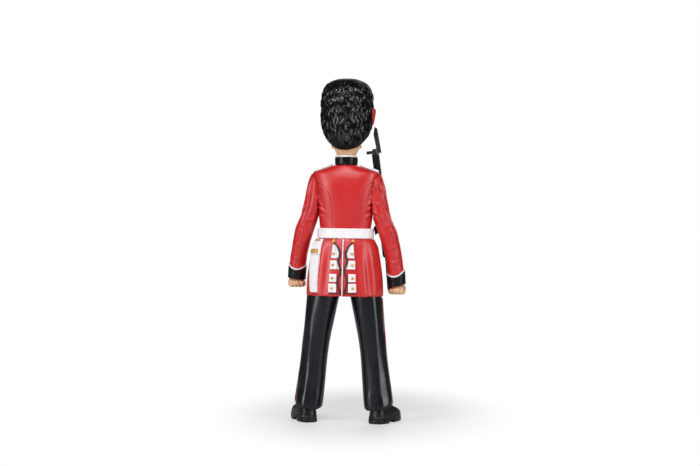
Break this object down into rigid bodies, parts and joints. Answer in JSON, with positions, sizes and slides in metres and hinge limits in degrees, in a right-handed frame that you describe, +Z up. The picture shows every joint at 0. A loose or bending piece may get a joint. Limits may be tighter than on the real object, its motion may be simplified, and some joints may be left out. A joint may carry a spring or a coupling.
{
  "type": "toy soldier figure",
  "caption": "Ceremonial foot guard figure standing at attention in a tall fur cap and tunic, rifle carried upright in its right hand; flat boot soles to stand on.",
  "frame": {"origin": "centre of the figure's footprint box, on the surface it stands on", "axes": "+Z up through the cap, -Y the way the face looks, +X the figure's left side"},
  "size_m": [0.0349, 0.0165, 0.1],
  "materials": {
    "red_paint": "satin hand-painted vinyl",
    "scarlet_trim": "satin hand-painted vinyl",
    "black_facings": "satin hand-painted vinyl",
    "skin_paint": "satin hand-painted vinyl",
    "cap_black": "gloss hand-painted vinyl",
    "trouser_black": "gloss hand-painted vinyl",
    "boot_black": "satin hand-painted vinyl",
    "rifle_black": "gloss hand-painted vinyl",
    "bayonet_grey": "satin hand-painted vinyl",
    "dark_line": "matte hand-painted vinyl",
    "gold_paint": "satin hand-painted vinyl",
    "white_paint": "satin hand-painted vinyl"
  },
  "bodies": {
    "root": {"tunic": "red_paint", "left_sleeve": "red_paint", "right_sleeve": "red_paint", "left_cuff": "black_facings", "right_cuff": "black_facings", "left_cuff_piping": "white_paint", "right_cuff_piping": "white_paint", "left_hand": "skin_paint", "right_hand": "skin_paint", "collar": "black_facings", "collar_piping": "white_paint", "head": "skin_paint", "chin_strap": "gold_paint", "bearskin": "cap_black", "plume": "scarlet_trim", "belt": "white_paint", "belt_buckle": "gold_paint", "frog": "white_paint", "frog_buckle": "gold_paint", "frog_rivets": "gold_paint", "scabbard": "white_paint", "left_shoulder_strap": "white_paint", "right_shoulder_strap": "white_paint", "front_piping": "white_paint", "front_buttons": "gold_paint", "waist_buttons": "gold_paint", "tail_buttons": "gold_paint", "tail_lace": "white_paint", "tail_edging": "dark_line", "tail_piping": "white_paint", "left_leg": "trouser_black", "right_leg": "trouser_black", "left_stripe": "scarlet_trim", "right_stripe": "scarlet_trim", "left_boot": "boot_black", "right_boot": "boot_black", "rifle": "rifle_black", "bayonet": "bayonet_grey"}
  },
  "joints": []
}
